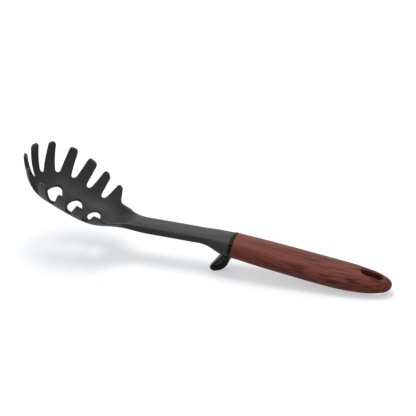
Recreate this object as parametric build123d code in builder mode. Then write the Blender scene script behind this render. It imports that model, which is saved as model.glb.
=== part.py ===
from build123d import *
from math import cos, hypot, pi, radians, sin, sqrt, tan
import os

# Pasta server: a moulded nylon scoop with tines on a long stem, a black band with a rest foot,
# and a wood-effect handle with a hanging slot.
# Millimetres. +X runs to the butt of the handle, the head is at -X, +Z is up. The tool rests on
# its foot and on the belly of the handle. The origin is on the ground, half way along the tool.

# Handle
collar_x = 26.35
collar_height = 26.0
handle_length = 143.4
front_half_width = 14.9
front_half_height = 10.4
widest_half_width = 16.3
widest_half_height = 11.3
handle_bend = 3.0
skin_wall = 2.4
fit_clearance = 0.15
overrun = 20.0

# Where along the handle its sections lie, where it is widest, and how blunt its end is
widest_share = 0.57
end_power = 2.5
station_shares = (0, 0.14, 0.3, 0.45, 0.57, 0.68, 0.78, 0.86, 0.92, 0.96, 0.985, 0.997)
angle_halvings = 40

# Hanging slot through the handle
slot_length = 20.5
slot_width = 8.6
slot_from_butt = 18.8
slot_wall = 1.8
slot_mouth_radius = 1.4

# Black band between shoulder and handle, and its rest foot
band_width = 3.0
band_gap = 0.1
notch_width = 1.0
notch_height = 5.3
foot_radius = 16.8
foot_thickness = 4.0
foot_pad_length = 5.0
foot_tip_reach = 3.2
foot_tip_radius = 1.6
foot_slope = 50.0
foot_front_wall = 1.2
foot_recess = 1.6
foot_pocket_corner = 0.8
foot_half_width = 5.6
foot_root_half_width = 9.5
foot_setback = 3.5
foot_waist_share = 0.3

# Neck and tang of the nylon head, inside band and handle
neck_half_width = 11.5
neck_half_height = 6.8
tang_length = 62.0
tang_width = 15.0
tang_thickness = 6.0

# Stem and shoulder
stem_tilt = 2.1
stem_half_width = 10.4
stem_thickness = 9.0
stem_middle_x = -5.95
stem_middle_height = 31.6
stem_power = 3.4
shoulder_length = 26.0
shoulder_lip = 0.5
stem_steps = 6
shoulder_steps = 4
ellipse_power = 2.0

# Scoop, in a frame tilted with the plane of the tine tips: U to its front, V across, N up
bowl_tilt = 28.5
bowl_centre_x = -134.05
bowl_centre_height = 79.0
bowl_radius = 37.0
bowl_depth = 29.6
bowl_wall = 2.4
bowl_back = 106.0
bowl_power = 2.6
keel_bend = 3.0
tip_overrun = 4.0

# Throat between scoop and stem: how its rim narrows behind the tines, and the ridge where the
# stem's top turns down
throat_start = 50.0
throat_end = 94.0
throat_half_width = 30.0
throat_power = 2.5
narrowing_power = 3
ridge_start = 66.0
ridge_length = 12.0
blend_start = 62.0
trim_margin = 5.0
trim_length = 24.0

# Even stations from the scoop's centre back to the stem. Those behind the tines are each given
# by how far the rim there lies above the line of the stem's top, as a share of stem_thickness
bowl_stations = 7
rim_height_shares = (0.757, 0.391, 0.271, 0.07, -0.247)

# Upper edge of the scoop seen from the side. Rim of the throat up to the rearmost tines: U as a
# share of bowl_radius, and height above the line of the stem's top as a share of stem_thickness
rim_line_shares = ((-2.1, 0.0), (-1.95, 0.03), (-1.72, 0.17), (-1.555, 0.246))
rim_bend_share = 0.54
rim_root_share = 0.08

# Tips: where their line ends and is highest, as shares of bowl_radius, its height there as a
# share of bowl_depth, and how it falls away
tip_rear_share = -1.407
tip_front_share = 1.45
tip_crest_place_share = 0.02
tip_crest_share = 0.004
tip_fall_share = 0.055
tip_line_steps = 6

# Gaps between tines as shares of bowl_radius: radius at the root and of the corners of a tip,
# then for each gap the centre of its root (U, V), the centre of its outer end beyond the wall
# (U, V), and the radius of that end
root_radius_share = 0.072
tip_radius_share = 0.062
tip_round_steps = 4
gap_shares = (
    ((-1.11, 0.67), (-1.15, 0.98), 0.15),
    ((-0.66, 0.72), (-0.68, 1.05), 0.13),
    ((-0.2, 0.738), (-0.125, 1.08), 0.165),
    ((0.22, 0.646), (0.465, 0.98), 0.205),
    ((0.54, 0.341), (0.9, 0.61), 0.185),
    ((0.62, 0.0), (1.16, 0.0), 0.205),
)

# Drain holes on the keel as shares of bowl_radius: place, half length and half width
drain_shares = ((-0.08, 0.187, 0.362), (-0.68, 0.173, 0.314), (-1.205, 0.146, 0.24))

tilt = radians(bowl_tilt)
bowl_plane = Plane(
    origin=(bowl_centre_x, 0, bowl_centre_height),
    x_dir=(-cos(tilt), 0, sin(tilt)),
    z_dir=(sin(tilt), 0, cos(tilt)),
)
across = (0, 1, 0)


def smooth_step(value):
    limited = min(max(value, 0), 1)
    return limited * limited * (3 - 2 * limited)


def blend(first, second, share):
    return first + (second - first) * share


def blend_points(first, second, share):
    return [
        (blend(a[0], b[0], share), blend(a[1], b[1], share))
        for a, b in zip(first, second)
    ]


# Stem's centre line as seen in the frame of the scoop
lean = radians(bowl_tilt - stem_tilt)
stem_point = bowl_plane.to_local_coords(Vector(stem_middle_x, 0, stem_middle_height))
stem_rise = stem_thickness / 2 / cos(lean)


def stem_axis(u):
    return stem_point.Z - tan(lean) * (u - stem_point.X)


def above_stem(u, share):
    """A height above the line of the stem's top, as a share of stem_thickness."""
    return stem_axis(u) + stem_rise + share * stem_thickness


def keel(u):
    along_stem = stem_axis(u) - stem_rise
    floor = -(bowl_depth + bowl_wall)
    half_gap = (along_stem - floor) / 2
    return (along_stem + floor) / 2 + hypot(half_gap, keel_bend)


# A section is three rows of points: its top, its underside and the middle of each side
row_shares = (-1, -0.85, -0.68, -0.5, -0.27, 0, 0.27, 0.5, 0.68, 0.85, 1)
side_angle = 18.0


def rounded_rows(half_width, half_height, centre, power):
    """Rows of a rounded bar: a superellipse of the given power."""
    top = []
    underside = []
    for share in row_shares:
        angle = share * (pi / 2 - radians(side_angle))
        reach = abs(sin(angle)) ** (2 / power) * half_width
        height = cos(angle) ** (2 / power) * half_height
        v = reach if share > 0 else -reach
        top.append((v, centre + height))
        underside.append((v, centre - height))
    return top, underside, [(-half_width, centre), (half_width, centre)]


def shell_rows(floor, half_width, rim, wall, power, keel_extra=0):
    """Rows of a trough: a power curve, with an even wall below it and more below its middle."""
    top = []
    underside = []
    for share in row_shares:
        rise = (rim - floor) * abs(share) ** power
        slope = (rim - floor) * power / half_width * abs(share) ** (power - 1)
        slope = slope if share > 0 else -slope
        length = hypot(1, slope)
        v = share * half_width
        top.append((v, floor + rise))
        extra = keel_extra * (1 - share ** 2)
        underside.append((v + wall * slope / length, floor + rise - wall / length - extra))
    sides = []
    for end in (0, -1):
        sides.append(((top[end][0] + underside[end][0]) / 2, (top[end][1] + underside[end][1]) / 2))
    return top, underside, sides


def section_face(plane, rows):
    """The closed face through a section's rows, on its plane."""
    top, underside, sides = rows
    with BuildSketch(plane) as section:
        with BuildLine():
            Spline(*top)
            Spline(top[-1], sides[1], underside[-1])
            Spline(*reversed(underside))
            Spline(underside[0], sides[0], top[0])
        make_face()
    return section.sketch.faces()[0]


def bowl_section_plane(u):
    place = bowl_plane.from_local_coords(Vector(u, 0, 0))
    return Plane(origin=place, x_dir=across, z_dir=-bowl_plane.x_dir)


def bowl_half_width(u):
    return bowl_radius * sqrt(1 - (u / bowl_back) ** 2)


def bowl_rows(u):
    floor = keel(u) + bowl_wall
    reach = ((tip_overrun - floor) / -floor) ** (1 / bowl_power)
    return shell_rows(floor, bowl_half_width(u) * reach, tip_overrun, bowl_wall, bowl_power)


def rim_half_width(u):
    """Half width of the throat's rim, seen square to the plane of the tips."""
    share = (throat_end + u) / (throat_end - throat_start)
    return blend(stem_half_width, throat_half_width, max(share, 0) ** narrowing_power)


def throat_rows(u, rim):
    """A trough that turns into the rounded bar of the stem, wider than its rim by a margin."""
    step = smooth_step((-u - ridge_start) / ridge_length)
    wall = blend(bowl_wall, stem_thickness / 2, step)
    keel_extra = step * (2 * stem_rise - stem_thickness / 2)
    floor = keel(u) + wall + keel_extra
    margin = trim_margin * smooth_step(1 + (u + throat_start) / trim_length)
    wide = rim_half_width(u) + margin
    raised = floor + (rim - floor) * (wide / rim_half_width(u)) ** throat_power
    shell = shell_rows(floor, wide, raised, wall, throat_power, keel_extra)
    bar = rounded_rows(stem_half_width, stem_rise, stem_axis(u), stem_power)
    share = smooth_step((-u - blend_start) / (throat_end - blend_start))
    top = blend_points(shell[0], bar[0], share)
    underside = blend_points(shell[1], bar[1], share)
    sides = blend_points(shell[2], bar[2], share)
    return top, underside, sides


# Scoop and throat: sections from one station ahead of the bowl's centre back to the stem
station_gap = throat_end / (bowl_stations + len(rim_height_shares))
scoop_faces = []
for i in range(-1, bowl_stations):
    u = -i * station_gap
    scoop_faces.append(section_face(bowl_section_plane(u), bowl_rows(u)))
for i, share in enumerate(rim_height_shares, start=bowl_stations):
    u = -i * station_gap
    scoop_faces.append(section_face(bowl_section_plane(u), throat_rows(u, above_stem(u, share))))
stem_start_rows = rounded_rows(stem_half_width, stem_rise, stem_axis(-throat_end), stem_power)
stem_start = section_face(bowl_section_plane(-throat_end), stem_start_rows)
scoop_faces.append(stem_start)

# Handle's frame: its axis leaves the middle of its front face, and falls until the belly of the
# handle touches the ground


def girth(share):
    """Size of the handle's section as a share of its widest one."""
    if share <= widest_share:
        front = front_half_width / widest_half_width
        return blend(1, front, (1 - share / widest_share) ** 2)
    beyond = (share - widest_share) / (1 - widest_share)
    return (1 - beyond ** end_power) ** (1 / end_power)


def lift(share):
    return handle_bend * max(2 * share - 1, 0) ** 2


def belly_height(angle):
    heights = []
    for share in station_shares:
        below = lift(share) - girth(share) * widest_half_height
        heights.append(collar_height - share * handle_length * sin(angle) + below * cos(angle))
    return min(heights)


low_angle = 0
high_angle = pi / 4
for _ in range(angle_halvings):
    middle_angle = (low_angle + high_angle) / 2
    if belly_height(middle_angle) > 0:
        low_angle = middle_angle
    else:
        high_angle = middle_angle
handle_angle = low_angle

handle_plane = Plane(
    origin=(collar_x, 0, collar_height),
    x_dir=across,
    z_dir=(cos(handle_angle), 0, -sin(handle_angle)),
)


def handle_sections(inset):
    """Sections of the handle's body, or of one that lies inside it by an inset."""
    sections = []
    for share in station_shares:
        with BuildSketch(handle_plane.offset(share * (handle_length - inset))) as section:
            with Locations((0, lift(share))):
                Ellipse(girth(share) * (widest_half_width - inset),
                        girth(share) * (widest_half_height - inset))
        sections.append(section.sketch.faces()[0])
    butt = handle_plane.from_local_coords(Vector(0, lift(1), handle_length - inset))
    sections.append(Vertex(butt))
    return sections


slot_plane = Plane(
    origin=handle_plane.from_local_coords(Vector(0, 0, handle_length - slot_from_butt)),
    x_dir=handle_plane.z_dir,
    z_dir=handle_plane.y_dir,
)

# Shoulder: the stem's bar swells to the oval of the band
shoulder_end_plane = handle_plane.offset(-band_width)
shoulder_end = shoulder_end_plane.origin
shoulder_start_x = shoulder_end.X - shoulder_length


def stem_height(x):
    return stem_middle_height - tan(radians(stem_tilt)) * (x - stem_middle_x)


def shoulder_sections(grow):
    """Sections of the shoulder, made larger all round by a clearance."""
    faces = []
    for i in range(shoulder_steps + 1):
        along = i / shoulder_steps
        swell = smooth_step(along)
        angle = handle_angle * along
        x = blend(shoulder_start_x, shoulder_end.X, along)
        height = blend(stem_height(shoulder_start_x), shoulder_end.Z, swell)
        rows = rounded_rows(
            blend(stem_half_width, front_half_width - shoulder_lip, swell) + grow,
            blend(stem_thickness / 2, front_half_height - shoulder_lip, swell) + grow,
            0,
            blend(stem_power, ellipse_power, swell),
        )
        plane = Plane(origin=(x, 0, height), x_dir=across, z_dir=(cos(angle), 0, -sin(angle)))
        faces.append(section_face(plane, rows))
    return faces


# Stem: the same bar all along
stem_start_x = bowl_section_plane(-throat_end).origin.X
stem_faces = []
for i in range(1, stem_steps):
    x = blend(stem_start_x, shoulder_start_x, i / stem_steps)
    plane = Plane(origin=(x, 0, stem_height(x)), x_dir=across, z_dir=(1, 0, 0))
    stem_rows = rounded_rows(stem_half_width, stem_thickness / 2, 0, stem_power)
    stem_faces.append(section_face(plane, stem_rows))

# Rest foot: seen from the side a round back, a flat pad and a straight front that leans to the
# shoulder. It is a black frame round a web of the nylon head
foot_centre_x = collar_x - foot_setback - foot_radius
inner_radius = foot_radius - foot_thickness
foot_top = collar_height - neck_half_height / 2
foot_sink = foot_radius - sqrt(foot_radius ** 2 - (foot_pad_length / 2) ** 2)
foot_centre_height = foot_radius - foot_sink
foot_tip_x = foot_centre_x - foot_tip_reach
foot_back_x = foot_centre_x + foot_radius
slope = radians(foot_slope)
foot_tip = (foot_tip_x + foot_tip_radius, foot_tip_radius - foot_sink)


def front_point(inset, height):
    """The point at a height on the foot's front line, moved into the foot by an inset."""
    distance = foot_tip_radius - inset
    x = foot_tip[0] - distance * sin(slope)
    z = foot_tip[1] + distance * cos(slope)
    return (x + (height - z) / tan(slope), height)


def foot_outline(inset):
    """Front view of the foot: narrow at the ground, wide at its root."""
    low = foot_half_width - inset
    high = foot_root_half_width - inset
    with BuildPart() as outline:
        with BuildSketch(Plane.YZ.offset(foot_tip_x - overrun)):
            with BuildLine():
                Spline((low, -foot_sink), (blend(low, high, foot_waist_share), foot_radius / 2), (high, foot_radius))
                Polyline((high, foot_radius), (high, foot_top), (0, foot_top), (0, -foot_sink), (low, -foot_sink))
            make_face()
            mirror(about=Plane.YZ)
        extrude(amount=foot_radius + foot_tip_reach + 2 * overrun)
    return outline.part


def foot_pocket(shrink):
    """The opening in the foot's frame that holds the web, made smaller all round by an amount."""
    inset = foot_front_wall + shrink
    reach = foot_radius + overrun
    with BuildPart() as pocket:
        with BuildSketch(Plane.XZ):
            with Locations((foot_centre_x, foot_centre_height)):
                Circle(inner_radius - shrink)
                Rectangle(inner_radius - shrink, foot_top - foot_centre_height,
                          align=(Align.MIN, Align.MIN))
            with BuildLine(mode=Mode.PRIVATE) as keep:
                Polyline(
                    front_point(inset, -foot_radius),
                    front_point(inset, foot_top),
                    (foot_tip_x + reach, foot_top),
                    (foot_tip_x + reach, -foot_radius),
                    close=True,
                )
            make_face(keep.edges(), mode=Mode.INTERSECT)
            fillet(vertices().group_by(Axis.X)[0], foot_pocket_corner)
        extrude(amount=foot_root_half_width, both=True)
    return pocket.part


with BuildPart() as shoulder_room:
    # The shoulder with a clearance all round
    loft(shoulder_sections(fit_clearance))

with BuildPart() as foot_plan:
    # Plan of the foot: its tip is round
    with BuildSketch(Plane.XY.offset(-overrun)):
        with Locations((foot_tip_x + foot_half_width, 0)):
            Circle(foot_half_width)
        with Locations((foot_centre_x + foot_radius / 2, 0)):
            Rectangle(foot_radius + overrun, 2 * foot_root_half_width, align=(Align.MIN, Align.CENTER))
        make_hull()
    extrude(amount=foot_top + 2 * overrun)

# Cutting tools for the scoop
side_plane = Plane(origin=bowl_plane.origin, x_dir=bowl_plane.x_dir, z_dir=across)
above = bowl_depth + overrun
tip_radius = tip_radius_share * bowl_radius
rim_line = [
    (along * bowl_radius, above_stem(along * bowl_radius, share))
    for along, share in rim_line_shares
]


def tip_height(u):
    """Height of the line of the tips over the plane of the scoop."""
    away = u - tip_crest_place_share * bowl_radius
    return tip_crest_share * bowl_depth - tip_fall_share * away ** 2 / bowl_radius


tip_line = []
for i in range(tip_line_steps + 1):
    u = blend(tip_rear_share, tip_front_share, i / tip_line_steps) * bowl_radius
    tip_line.append((u, tip_height(u)))
rim_bend_radius = rim_bend_share * bowl_radius
rim_bends = (rim_bend_radius, rim_bend_radius, rim_root_share * bowl_radius)

with BuildPart() as rim_tool:
    # Everything above the rim and the tips
    with BuildSketch(side_plane):
        with BuildLine():
            FilletPolyline(*rim_line, tip_line[0], radius=rim_bends)
            Spline(*tip_line)
            Polyline(
                tip_line[-1],
                (tip_line[-1][0], above),
                (rim_line[0][0], above),
                rim_line[0],
            )
        make_face()
        rear_corner = vertices().sort_by_distance((*tip_line[0], 0))[0]
        fillet(rear_corner, tip_radius)
    extrude(amount=bowl_radius + overrun, both=True)


def gap_plan(gap, height, grow):
    """A gap seen along N, at a height over the plane of the scoop, and made wider all round."""
    root, end, end_share = gap
    with BuildSketch(bowl_plane.offset(height)) as plan:
        with Locations((root[0] * bowl_radius, root[1] * bowl_radius)):
            Circle(root_radius_share * bowl_radius + grow)
        with Locations((end[0] * bowl_radius, end[1] * bowl_radius)):
            Circle(end_share * bowl_radius + grow)
        make_hull()
    return plan.sketch.faces()[0]


def gap_tool(gap):
    """Cuts a gap, and flares it out in a quarter round at the tips beside it."""
    crest = tip_height(gap[1][0] * bowl_radius)
    plans = [gap_plan(gap, -above, 0)]
    for i in range(tip_round_steps + 1):
        turn = i / tip_round_steps * pi / 2
        plans.append(gap_plan(gap, crest - tip_radius * (1 - sin(turn)), tip_radius * (1 - cos(turn))))
    plans.append(gap_plan(gap, above, tip_radius))
    with BuildPart() as tool:
        loft(plans, ruled=True)
    return tool.part


# Gaps on one side, those on the other and the one in front
side_gap_tools = [gap_tool(gap) for gap in gap_shares[:-1]]
other_side_tools = [tool.mirror(Plane.XZ) for tool in side_gap_tools]
gap_tools = [*side_gap_tools, *other_side_tools, gap_tool(gap_shares[-1])]

with BuildPart() as foot_web:
    # Web under the shoulder, a little narrower than the foot's frame
    add(foot_pocket(fit_clearance))
    add(foot_outline(foot_recess), mode=Mode.INTERSECT)

with BuildPart() as serving_head:
    # Back of the scoop with the throat, stem and shoulder
    loft(scoop_faces + stem_faces + shoulder_sections(0))
    split(bisect_by=bowl_section_plane(0), keep=Keep.TOP)
    # Front of the scoop: half a turn of the section at its centre
    revolve(scoop_faces[1].split(Plane.XZ, Keep.BOTTOM), Axis(bowl_plane.origin, bowl_plane.z_dir), 180)
    add(rim_tool.part, mode=Mode.SUBTRACT)
    # Gaps between the tines
    for tool in gap_tools:
        add(tool, mode=Mode.SUBTRACT)
    # Drain holes
    with BuildSketch(bowl_plane):
        for place, half_length, half_width in drain_shares:
            with Locations((place * bowl_radius, 0)):
                Ellipse(half_length * bowl_radius, half_width * bowl_radius)
    extrude(amount=above, both=True, mode=Mode.SUBTRACT)
    # Web inside the rest foot
    add(foot_web.part)
    # Neck and tang
    with BuildSketch(shoulder_end_plane):
        Ellipse(neck_half_width, neck_half_height)
    extrude(amount=band_width - band_gap)
    with BuildSketch(shoulder_end_plane):
        Rectangle(tang_width, tang_thickness)
    extrude(amount=band_width + tang_length)

band_plane = shoulder_end_plane.offset(band_gap)
band_depth = band_width - 2 * band_gap

with BuildPart() as collar_ring:
    # Upper half of the band
    with BuildSketch(band_plane):
        Ellipse(front_half_width, front_half_height)
        Ellipse(neck_half_width + fit_clearance, neck_half_height + fit_clearance, mode=Mode.SUBTRACT)
        with Locations((0, notch_height + notch_width / 2)):
            Rectangle(2 * front_half_width, front_half_height, align=(Align.CENTER, Align.MIN),
                      mode=Mode.INTERSECT)
    extrude(amount=band_depth)

with BuildPart() as rest_foot:
    with BuildSketch(Plane.XZ):
        with BuildLine():
            Polyline(front_point(0, foot_top), (foot_back_x, foot_top), (foot_back_x, foot_centre_height))
            RadiusArc((foot_back_x, foot_centre_height), (foot_centre_x, -foot_sink), foot_radius)
            Line((foot_centre_x, -foot_sink), (foot_tip[0], -foot_sink))
            tip_start = Vector(foot_tip[0], -foot_sink)
            tip_end = Vector(foot_tip[0] - foot_tip_radius * sin(slope),
                             foot_tip[1] + foot_tip_radius * cos(slope))
            tip_turn = (3 * pi / 2 + pi / 2 + slope) / 2
            tip_middle = (foot_tip[0] + foot_tip_radius * cos(tip_turn),
                          foot_tip[1] + foot_tip_radius * sin(tip_turn))
            ThreePointArc(tip_start, tip_middle, tip_end)
            Line(tip_end, front_point(0, foot_top))
        make_face()
    extrude(amount=foot_root_half_width, both=True)
    add(foot_outline(0), mode=Mode.INTERSECT)
    add(foot_plan.part, mode=Mode.INTERSECT)
    # Opening for the web
    add(foot_pocket(0), mode=Mode.SUBTRACT)
    # Lower half of the band
    with BuildSketch(band_plane):
        Ellipse(front_half_width, front_half_height)
        with Locations((0, notch_height - notch_width / 2)):
            Rectangle(2 * front_half_width, 2 * front_half_height, align=(Align.CENTER, Align.MAX),
                      mode=Mode.INTERSECT)
    extrude(amount=band_depth)
    # Room for the shoulder, the neck and the handle's front face
    add(shoulder_room.part, mode=Mode.SUBTRACT)
    with BuildSketch(shoulder_end_plane.offset(-overrun)):
        Ellipse(neck_half_width + fit_clearance, neck_half_height + fit_clearance)
    extrude(amount=band_width + overrun, mode=Mode.SUBTRACT)
    # Flat pad on the ground
    split(bisect_by=Plane.XY, keep=Keep.TOP)

with BuildPart() as handle_cavity:
    # Inside of the wood-effect shell: it leaves a wall round the hanging slot
    loft(handle_sections(skin_wall))
    with BuildSketch(slot_plane):
        SlotOverall(slot_length + 2 * slot_wall, slot_width + 2 * slot_wall)
    extrude(amount=widest_half_height + overrun, both=True, mode=Mode.SUBTRACT)

with BuildPart() as handle_skin:
    loft(handle_sections(0))
    add(handle_cavity.part, mode=Mode.SUBTRACT)
    with BuildSketch(slot_plane):
        SlotOverall(slot_length, slot_width)
    extrude(amount=widest_half_height + overrun, both=True, mode=Mode.SUBTRACT)
    mouth = edges(Select.LAST).filter_by(Axis((0, 0, 0), slot_plane.z_dir), reverse=True)
    fillet(mouth, slot_mouth_radius)

with BuildPart() as handle_core:
    loft(handle_sections(skin_wall + fit_clearance))
    with BuildSketch(slot_plane):
        core_slot_wall = slot_wall + fit_clearance
        SlotOverall(slot_length + 2 * core_slot_wall, slot_width + 2 * core_slot_wall)
    extrude(amount=widest_half_height + overrun, both=True, mode=Mode.SUBTRACT)
    # Socket for the tang
    with BuildSketch(handle_plane):
        Rectangle(tang_width + 2 * fit_clearance, tang_thickness + 2 * fit_clearance)
    extrude(amount=tang_length + fit_clearance, mode=Mode.SUBTRACT)

os.makedirs("parts", exist_ok=True)
serving_head.part.label = "serving_head"
collar_ring.part.label = "collar_ring"
rest_foot.part.label = "rest_foot"
handle_core.part.label = "handle_core"
handle_skin.part.label = "handle_skin"
export_step(serving_head.part, "parts/serving_head.step")
export_step(collar_ring.part, "parts/collar_ring.step")
export_step(rest_foot.part, "parts/rest_foot.step")
export_step(handle_core.part, "parts/handle_core.step")
export_step(handle_skin.part, "parts/handle_skin.step")
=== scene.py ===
# %% [markdown]
# # Dressing a pasta server
#
# The object is a kitchen tool for lifting spaghetti: a dark nylon scoop with twelve tines on a
# long stem, a black trim band with a small rest foot, and a handle with a red-brown wood-effect
# print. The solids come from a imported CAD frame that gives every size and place. This file only
# adds what a camera sees: softened edges, surface finishes, a floor, lights and a camera.

# %% Load the frame
import bpy
from math import cos, radians, sin
from mathutils import Matrix, Vector


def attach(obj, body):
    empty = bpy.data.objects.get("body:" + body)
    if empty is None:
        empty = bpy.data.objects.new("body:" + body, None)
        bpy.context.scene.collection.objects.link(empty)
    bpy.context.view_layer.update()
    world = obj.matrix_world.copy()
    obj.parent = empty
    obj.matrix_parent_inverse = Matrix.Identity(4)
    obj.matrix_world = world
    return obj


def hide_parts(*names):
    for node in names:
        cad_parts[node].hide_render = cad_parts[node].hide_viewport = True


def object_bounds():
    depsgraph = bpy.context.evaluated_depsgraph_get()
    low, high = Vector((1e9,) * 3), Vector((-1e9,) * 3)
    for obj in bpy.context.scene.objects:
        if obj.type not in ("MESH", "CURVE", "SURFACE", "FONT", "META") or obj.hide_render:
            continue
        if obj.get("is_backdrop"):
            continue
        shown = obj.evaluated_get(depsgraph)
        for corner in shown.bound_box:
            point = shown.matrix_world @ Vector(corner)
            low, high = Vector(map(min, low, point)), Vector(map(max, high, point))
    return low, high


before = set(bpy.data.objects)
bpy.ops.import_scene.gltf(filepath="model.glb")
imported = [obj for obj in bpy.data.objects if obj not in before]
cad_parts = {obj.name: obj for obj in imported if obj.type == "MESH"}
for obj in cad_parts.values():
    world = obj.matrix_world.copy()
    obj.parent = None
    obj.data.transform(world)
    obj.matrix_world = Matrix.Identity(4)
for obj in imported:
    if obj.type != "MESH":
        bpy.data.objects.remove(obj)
cad_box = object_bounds()
print("solids:", ", ".join(sorted(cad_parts)))
print("box in millimetres:", [round(1000 * side, 1) for side in (cad_box[1] - cad_box[0])])

# %% [markdown]
# ## A few helpers
#
# A finish is a small tree of nodes. One function adds a node, sets its options and fills its
# sockets, and a socket may be given a plain value or the output of another node. Colours are
# written the way a paint program shows them, so one function turns that code into the linear
# light values that a renderer adds up.

# %% Colour and node helpers
def linear_colour(code):
    channels = [int(code[place:place + 2], 16) / 255 for place in (1, 3, 5)]
    curve = [c / 12.92 if c <= 0.04045 else ((c + 0.055) / 1.055) ** 2.4 for c in channels]
    return (*curve, 1.0)


def add_node(tree, kind, settings=None, sockets=None):
    node = tree.nodes.new(kind)
    for name, value in (settings or {}).items():
        setattr(node, name, value)
    for name, value in (sockets or {}).items():
        socket = node.inputs[name]
        if isinstance(value, bpy.types.NodeSocket):
            tree.links.new(value, socket)
        else:
            socket.default_value = value
    return node


def colour_steps(ramp, steps):
    elements = ramp.color_ramp.elements
    while len(elements) < len(steps):
        elements.new(1.0)
    for element, (place, code) in zip(elements, steps):
        element.position = place
        element.color = linear_colour(code)


def seen_directly(tree):
    """1 for a ray from the camera, a reflection or a clear body, 0 for light that bounces."""
    ray = add_node(tree, "ShaderNodeLightPath")
    seen = 0.0
    for kind in ("Is Camera Ray", "Is Glossy Ray", "Is Transmission Ray"):
        larger = add_node(tree, "ShaderNodeMath", {"operation": "MAXIMUM"},
                          {0: seen, 1: ray.outputs[kind]})
        seen = larger.outputs[0]
    return seen


print("linear value of a mid grey:", round(linear_colour("#808080")[0], 3))

# %% [markdown]
# ## The camera
#
# The photograph looks down on the tool at 28 degrees, from a little to the left of square on,
# with a long lens that keeps the stem and handle nearly free of perspective. A camera can be
# aimed with a constraint, but here its three axes are worked out from those angles and written
# as one matrix, so that nothing can nudge it later.

# %% Place the camera
look_down = radians(28.125)
turn = radians(17.955)
tilt = radians(0.714)
view_distance = 1.4924
aim_along = 0.00555
aim_left = 0.004519
aim_up = 0.05339
film_width = 36.0
picture_width = 416
focal_pixels = 1658.8
level_right = Vector((cos(turn), sin(turn), 0.0))
level_away = Vector((-sin(turn), cos(turn), 0.0))
upright = Vector((0.0, 0.0, 1.0))
forward = level_away * cos(look_down) - upright * sin(look_down)
steep_up = level_away * sin(look_down) + upright * cos(look_down)
right = level_right * cos(tilt) - steep_up * sin(tilt)
up = level_right * sin(tilt) + steep_up * cos(tilt)
view_centre = Vector((aim_along, 0.0, 0.0)) - right * aim_left + up * aim_up
place = view_centre - forward * view_distance

lens_data = bpy.data.cameras.new("picture_camera")
lens_data.sensor_width = film_width
lens_data.lens = film_width * focal_pixels / picture_width
camera = bpy.data.objects.new("picture_camera", lens_data)
axes = Matrix((right, up, -forward)).transposed()
camera.matrix_world = Matrix.Translation(place) @ axes.to_4x4()
bpy.context.scene.collection.objects.link(camera)
bpy.context.scene.camera = camera
bpy.context.scene.view_settings.view_transform = "Standard"
print("camera stands at", [round(value, 3) for value in place])
print("its lens is", round(lens_data.lens, 1), "mm")

# %% [markdown]
# ## The floor
#
# The tool stands on plain white paper. A flat sheet that is much larger than the view does this,
# because the camera never sees its rim. It is matt and almost white, so it carries the soft
# shadow under the tool and throws pale light back up on to the underside. A photographer lifts
# the paper to pure white when the picture is printed. Here a Light Path node does that: for rays
# that come from the camera or a reflection, the paper is mixed with an even white glow, which
# whitens it and thins its shadow without any more light on the tool. The light that the paper
# throws back on the tool comes from a greyer tone, because the tool's underside is dark.

# %% Make the paper floor
floor_reach = 4.0
floor_drop = 0.0001
floor_mesh = bpy.data.meshes.new("paper_floor")
corners = [(-1, -1), (1, -1), (1, 1), (-1, 1)]
corner_places = [(x * floor_reach, y * floor_reach, -floor_drop) for x, y in corners]
floor_mesh.from_pydata(corner_places, [], [(0, 1, 2, 3)])
paper_floor = bpy.data.objects.new("paper_floor", floor_mesh)
bpy.context.scene.collection.objects.link(paper_floor)

paper_lift = 0.45
paper = bpy.data.materials.new("white_studio_paper")
paper.use_nodes = True
paper_tree = paper.node_tree
paper_shader = paper_tree.nodes["Principled BSDF"]
paper_shader.inputs["Roughness"].default_value = 0.9
paper_shader.inputs["Specular IOR Level"].default_value = 0.1
paper_fibres = add_node(paper_tree, "ShaderNodeTexNoise", sockets={"Scale": 3.0, "Detail": 2.0})
paper_tone = add_node(paper_tree, "ShaderNodeValToRGB", sockets={"Fac": paper_fibres.outputs["Fac"]})
colour_steps(paper_tone, [(0.3, "#f6f7f9"), (0.7, "#f8f9fa")])
paper_seen = seen_directly(paper_tree)
paper_sides = add_node(paper_tree, "ShaderNodeMix", {"data_type": "RGBA"},
                       {0: paper_seen, 6: linear_colour("#a6a6a8"), 7: paper_tone.outputs["Color"]})
paper_tree.links.new(paper_sides.outputs[2], paper_shader.inputs["Base Color"])
lift_share = add_node(paper_tree, "ShaderNodeMath", {"operation": "MULTIPLY"},
                      {0: paper_seen, 1: paper_lift})
paper_glow = add_node(paper_tree, "ShaderNodeEmission", sockets={"Strength": 1.0})
lifted_paper = add_node(paper_tree, "ShaderNodeMixShader",
                        sockets={0: lift_share.outputs[0], 1: paper_shader.outputs[0],
                                 2: paper_glow.outputs[0]})
paper_end = paper_tree.nodes["Material Output"]
paper_tree.links.new(lifted_paper.outputs[0], paper_end.inputs["Surface"])
floor_mesh.materials.append(paper)
paper_floor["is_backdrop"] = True
print("floor is", 2 * floor_reach, "m wide, lifted by", paper_lift)

# %% [markdown]
# ## The light
#
# The shadow in the photograph lies straight under the tool and is very soft, so the main light
# is a wide soft box overhead. An even white surround fills in the sides. The surround is a little
# dimmer as a light than as a background, so the camera and the reflections still see clean white.
# A second soft box stands low on the far side. It mirrors in the top of the stem and the handle,
# which is what makes their upper faces lighter than their sides.

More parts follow.
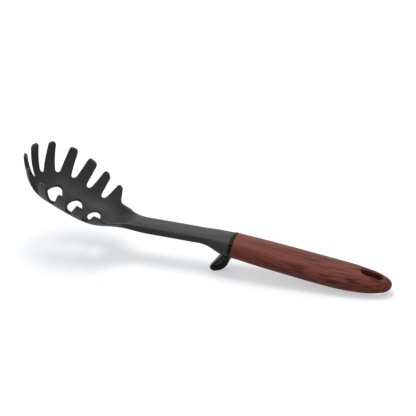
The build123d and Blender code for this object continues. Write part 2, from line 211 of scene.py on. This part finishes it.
# %% Light the surround
surround = bpy.data.worlds.new("white_surround")
bpy.context.scene.world = surround
surround.use_nodes = True
surround_tree = surround.node_tree
surround_tree.nodes.clear()
surround_seen = seen_directly(surround_tree)
fill_light = add_node(surround_tree, "ShaderNodeBackground",
                      sockets={"Color": linear_colour("#f8faff"), "Strength": 0.74})
backdrop = add_node(surround_tree, "ShaderNodeBackground",
                    sockets={"Color": linear_colour("#ffffff"), "Strength": 1.0})
choice = add_node(surround_tree, "ShaderNodeMixShader",
                  sockets={0: surround_seen, 1: fill_light.outputs[0], 2: backdrop.outputs[0]})
add_node(surround_tree, "ShaderNodeOutputWorld", sockets={"Surface": choice.outputs[0]})
print("surround lights with a strength of", fill_light.inputs["Strength"].default_value)

# %% Hang the soft boxes
def hang_soft_box(name, stand, aim, width, power):
    lamp = bpy.data.lights.new(name, "AREA")
    lamp.shape = "DISK"
    lamp.size = width
    lamp.energy = power
    box = bpy.data.objects.new(name, lamp)
    facing = (aim - stand).to_track_quat("-Z", "Y").to_matrix()
    box.matrix_world = Matrix.Translation(stand) @ facing.to_4x4()
    bpy.context.scene.collection.objects.link(box)


middle = (cad_box[0] + cad_box[1]) / 2
box_height = 1.0
box_shift = 0.10
far_box_distance = 1.0
far_box_height = 0.53
above_tool = middle + Vector((-box_shift, box_shift, box_height))
beyond_tool = middle + level_away * far_box_distance + upright * far_box_height
hang_soft_box("overhead_soft_box", above_tool, middle, width=0.55, power=6.2)
hang_soft_box("far_soft_box", beyond_tool, middle, width=0.6, power=1.5)
print("soft box hangs", box_height, "m above the tool")

# %% [markdown]
# ## Glass-filled nylon
#
# The head is one moulding of nylon 66 with a little glass in it. The mould was spark-eroded, so
# the skin is an even, very fine grit that looks soft and grey, with only a broad sheen where the
# light grazes it. The grit is really near 0.1 mm, too fine to show, so it is drawn at 0.7 mm.
# The glass leaves slow, faint changes of tone along the flow, which keep it from looking painted.

# %% Mix the nylon
def start_finish(name, roughness, ior, shine):
    finish = bpy.data.materials.new(name)
    finish.use_nodes = True
    shader = finish.node_tree.nodes["Principled BSDF"]
    shader.inputs["Roughness"].default_value = roughness
    shader.inputs["IOR"].default_value = ior
    shader.inputs["Specular IOR Level"].default_value = shine
    spot = add_node(finish.node_tree, "ShaderNodeTexCoord").outputs["Object"]
    return finish, finish.node_tree, shader, spot


def noise(tree, spot, size, detail):
    """Noise whose patches are about as wide as a size in millimetres."""
    return add_node(tree, "ShaderNodeTexNoise",
                    sockets={"Vector": spot, "Scale": 1000 / size, "Detail": detail})


def cloudy_colour(tree, shader, clouds, steps):
    tone = add_node(tree, "ShaderNodeValToRGB", sockets={"Fac": clouds.outputs["Fac"]})
    colour_steps(tone, steps)
    tree.links.new(tone.outputs["Color"], shader.inputs["Base Color"])


def rough_skin(tree, shader, pattern, strength):
    skin = add_node(tree, "ShaderNodeBump",
                    sockets={"Height": pattern.outputs["Fac"], "Strength": strength,
                             "Distance": skin_depth})
    tree.links.new(skin.outputs["Normal"], shader.inputs["Normal"])


skin_depth = 0.00005
grit_size = 0.7
flow_mark_size = 28.0
nylon, nylon_tree, nylon_shader, nylon_spot = start_finish(
    "moulded_glass_filled_nylon", roughness=0.5, ior=1.53, shine=0.2)
flow_marks = noise(nylon_tree, nylon_spot, flow_mark_size, 3.0)
cloudy_colour(nylon_tree, nylon_shader, flow_marks, [(0.25, "#262525"), (0.75, "#2c2b2b")])
rough_skin(nylon_tree, nylon_shader, noise(nylon_tree, nylon_spot, grit_size, 2.0), 0.12)
nylon_gloss = add_node(nylon_tree, "ShaderNodeMapRange",
                       sockets={"Value": flow_marks.outputs["Fac"], "To Min": 0.46, "To Max": 0.54})
nylon_tree.links.new(nylon_gloss.outputs["Result"], nylon_shader.inputs["Roughness"])
print("nylon grit drawn at", grit_size, "mm, flow marks at", flow_mark_size, "mm")

# %% [markdown]
# ## Black trim plastic
#
# The ring and the foot are moulded in a rubbery black thermoplastic. It takes in nearly all the
# light, so its form only shows as a dull sheen on the rounded edges. A pure black would hide
# even that, so the colour stops a little short of it.

# %% Mix the black trim
trim_cloud_size = 6.0
trim, trim_tree, trim_shader, trim_spot = start_finish(
    "moulded_black_elastomer", roughness=0.55, ior=1.5, shine=0.12)
trim_clouds = noise(trim_tree, trim_spot, trim_cloud_size, 3.0)
cloudy_colour(trim_tree, trim_shader, trim_clouds, [(0.3, "#070808"), (0.7, "#0c0d0d")])
rough_skin(trim_tree, trim_shader, noise(trim_tree, trim_spot, grit_size, 2.0), 0.15)
print("trim roughness", trim_shader.inputs["Roughness"].default_value)

# %% [markdown]
# ## The wood-effect print
#
# The handle isn't wood. It is a plastic shell that was dipped through a floating film of printed
# grain and then lacquered, which gives a crisp, fine grain under a thin satin skin. Real grain
# runs in long thin streaks, so the pattern is noise that is stretched along the handle: 34 mm
# long for each 0.8 mm of width. The film was laid a little askew and slides round the handle
# towards its end, so the pattern is turned about the handle's own line by an angle that changes
# along it. Turning it, and not sliding it, keeps the grain whole all the way round with no seam.
# The streaks also spread like a fan from a line near the handle's top, so the sideways part of
# each place is divided by a number that grows along the handle.

# %% Lay out the grain
handle_start = Vector((0.02635, 0.0, 0.026))
handle_dip = radians(8.2)
print_turn_start = -0.27
print_turn_change = 0.0044
handle_girth_radius = 16.0
grain_fan = 0.012
fan_height = 8.0

wood, wood_tree, wood_shader, wood_spot = start_finish(
    "lacquered_wood_grain_print", roughness=0.48, ior=1.49, shine=0.12)


def work_out(operation, *values):
    node = add_node(wood_tree, "ShaderNodeMath", {"operation": operation}, dict(enumerate(values)))
    return node.outputs[0]


from_start = add_node(wood_tree, "ShaderNodeVectorMath", {"operation": "SUBTRACT"},
                      {0: wood_spot, 1: handle_start})
along_handle = add_node(wood_tree, "ShaderNodeVectorRotate", {"rotation_type": "Y_AXIS"},
                        {"Vector": from_start.outputs[0], "Angle": -handle_dip})
in_millimetres = add_node(wood_tree, "ShaderNodeVectorMath", {"operation": "SCALE"},
                          {0: along_handle.outputs[0], "Scale": 1000.0})
spot_parts = add_node(wood_tree, "ShaderNodeSeparateXYZ", sockets={0: in_millimetres.outputs[0]})
along = spot_parts.outputs["X"]
turn_rate = work_out("MULTIPLY_ADD", along, print_turn_change / 2, print_turn_start)
print_angle = work_out("DIVIDE", work_out("MULTIPLY", turn_rate, along), handle_girth_radius)
turned_spot = add_node(wood_tree, "ShaderNodeVectorRotate", {"rotation_type": "X_AXIS"},
                       {"Vector": in_millimetres.outputs[0], "Angle": print_angle})
turned_parts = add_node(wood_tree, "ShaderNodeSeparateXYZ", sockets={0: turned_spot.outputs[0]})
fan = work_out("MULTIPLY_ADD", along, grain_fan, 1.0)
fan_side = work_out("DIVIDE", turned_parts.outputs["Y"], fan)
fan_rise = work_out("DIVIDE", work_out("SUBTRACT", turned_parts.outputs["Z"], fan_height), fan)
grain_spot = add_node(wood_tree, "ShaderNodeCombineXYZ",
                      sockets={0: along, 1: fan_side, 2: fan_rise})
print("grain leans", print_turn_start, "at the front, plus", print_turn_change, "each mm")

# %% Print the grain
def grain_layer(length, width, detail):
    stretch = add_node(wood_tree, "ShaderNodeVectorMath", {"operation": "MULTIPLY"},
                       {0: grain_spot.outputs[0], 1: (1 / length, 1 / width, 1 / width)})
    return add_node(wood_tree, "ShaderNodeTexNoise",
                    sockets={"Vector": stretch.outputs[0], "Scale": 1.0, "Detail": detail})


broad_length, broad_width = 70.0, 7.0
streak_length, streak_width = 34.0, 0.8
pore_length, pore_width = 9.0, 0.4
broad_tone = grain_layer(broad_length, broad_width, 2.0)
base_tone = add_node(wood_tree, "ShaderNodeValToRGB", sockets={"Fac": broad_tone.outputs["Fac"]})
colour_steps(base_tone, [(0.3, "#623126"), (0.7, "#7a4133")])
streaks = grain_layer(streak_length, streak_width, 4.0)
streak_mask = add_node(wood_tree, "ShaderNodeValToRGB", sockets={"Fac": streaks.outputs["Fac"]})
colour_steps(streak_mask, [(0.46, "#000000"), (0.62, "#ffffff")])
rear_share = add_node(wood_tree, "ShaderNodeMapRange",
                      sockets={"Value": along, "From Min": 10.0, "From Max": 75.0,
                               "To Min": 0.4, "To Max": 0.85})
streak_share = work_out("MULTIPLY", streak_mask.outputs["Color"], rear_share.outputs[0])
with_streaks = add_node(wood_tree, "ShaderNodeMix", {"data_type": "RGBA"},
                        {0: streak_share, 6: base_tone.outputs["Color"],
                         7: linear_colour("#32150f")})
pores = grain_layer(pore_length, pore_width, 2.0)
pore_mask = add_node(wood_tree, "ShaderNodeMapRange",
                     sockets={"Value": pores.outputs["Fac"], "From Min": 0.48, "From Max": 0.68,
                              "To Min": 0.0, "To Max": 0.55})
with_pores = add_node(wood_tree, "ShaderNodeMix", {"data_type": "RGBA"},
                      {0: pore_mask.outputs[0], 6: with_streaks.outputs[2],
                       7: linear_colour("#532a23")})
wood_tree.links.new(with_pores.outputs[2], wood_shader.inputs["Base Color"])
rough_skin(wood_tree, wood_shader, pores, 0.1)
print("grain streaks are", streak_length, "mm long and", streak_width, "mm wide at the front")

# %% [markdown]
# ## The hidden core
#
# Under the print is a plain grey plastic core that carries the stem's tang. Nobody sees it, but
# it is a real piece, so it gets the dull, slightly cloudy look of unfinished recycled plastic.

# %% Mix the core plastic
core_cloud_size = 9.0
core, core_tree, core_shader, core_spot = start_finish(
    "unfinished_recycled_plastic", roughness=0.65, ior=1.5, shine=0.4)
core_clouds = noise(core_tree, core_spot, core_cloud_size, 4.0)
cloudy_colour(core_tree, core_shader, core_clouds, [(0.3, "#2f2f30"), (0.7, "#3a3a3b")])
print("core roughness", core_shader.inputs["Roughness"].default_value)

# %% [markdown]
# ## Soft edges on the mouldings
#
# A mould has no truly sharp edge, and on a dark tool the thin bright line along each rounded rim
# is most of what the eye reads. The solids have crisp rims. A bevel would need clean edge loops,
# which a mesh cut from curved walls doesn't have. So each moulding is copied, given an even skin
# of tiny squares with a voxel remesh, and smoothed a few times, which rounds every rim alike and
# leaves the broad surfaces where they were.

# %% Round off a moulding
def soften(node, name, finish, voxel, passes):
    piece = bpy.data.objects.new(name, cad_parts[node].data.copy())
    bpy.context.scene.collection.objects.link(piece)
    skin = piece.modifiers.new("even_skin", "REMESH")
    skin.mode = "VOXEL"
    skin.voxel_size = voxel
    rounding = piece.modifiers.new("rounded_rims", "SMOOTH")
    rounding.factor = 0.5
    rounding.iterations = passes
    view_layer = bpy.context.evaluated_depsgraph_get()
    piece.data = bpy.data.meshes.new_from_object(piece.evaluated_get(view_layer))
    piece.modifiers.clear()
    piece.data.materials.clear()
    piece.data.materials.append(finish)
    piece.data.shade_smooth()
    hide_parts(node)
    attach(piece, "root")
    print(name, "has", len(piece.data.polygons), "faces of", 1000 * voxel, "mm")


soften("serving_head", "moulded_head", nylon, voxel=0.00045, passes=4)
soften("collar_ring", "trim_ring", trim, voxel=0.0003, passes=5)
soften("rest_foot", "trim_foot", trim, voxel=0.0003, passes=5)

# %% [markdown]
# ## The handle keeps its solid
#
# The handle's shape is already right and its rim is hidden under the trim band, so the solid
# stays and only takes its finish. The same goes for the core inside it.

# %% Finish the handle and its core
for node, finish in (("handle_skin", wood), ("handle_core", core)):
    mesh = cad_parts[node].data
    mesh.materials.clear()
    mesh.materials.append(finish)
    print(node, "takes", finish.name)

# %% [markdown]
# ## Measure the dressed tool
#
# Dressing is meant to leave the size alone. The box of the dressed tool is printed here, to set
# against the box of the bare solids that was printed when the solids were loaded.

dressed_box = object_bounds()
dressed_sides = dressed_box[1] - dressed_box[0]
print("dressed box in millimetres:", [round(1000 * side, 1) for side in dressed_sides])
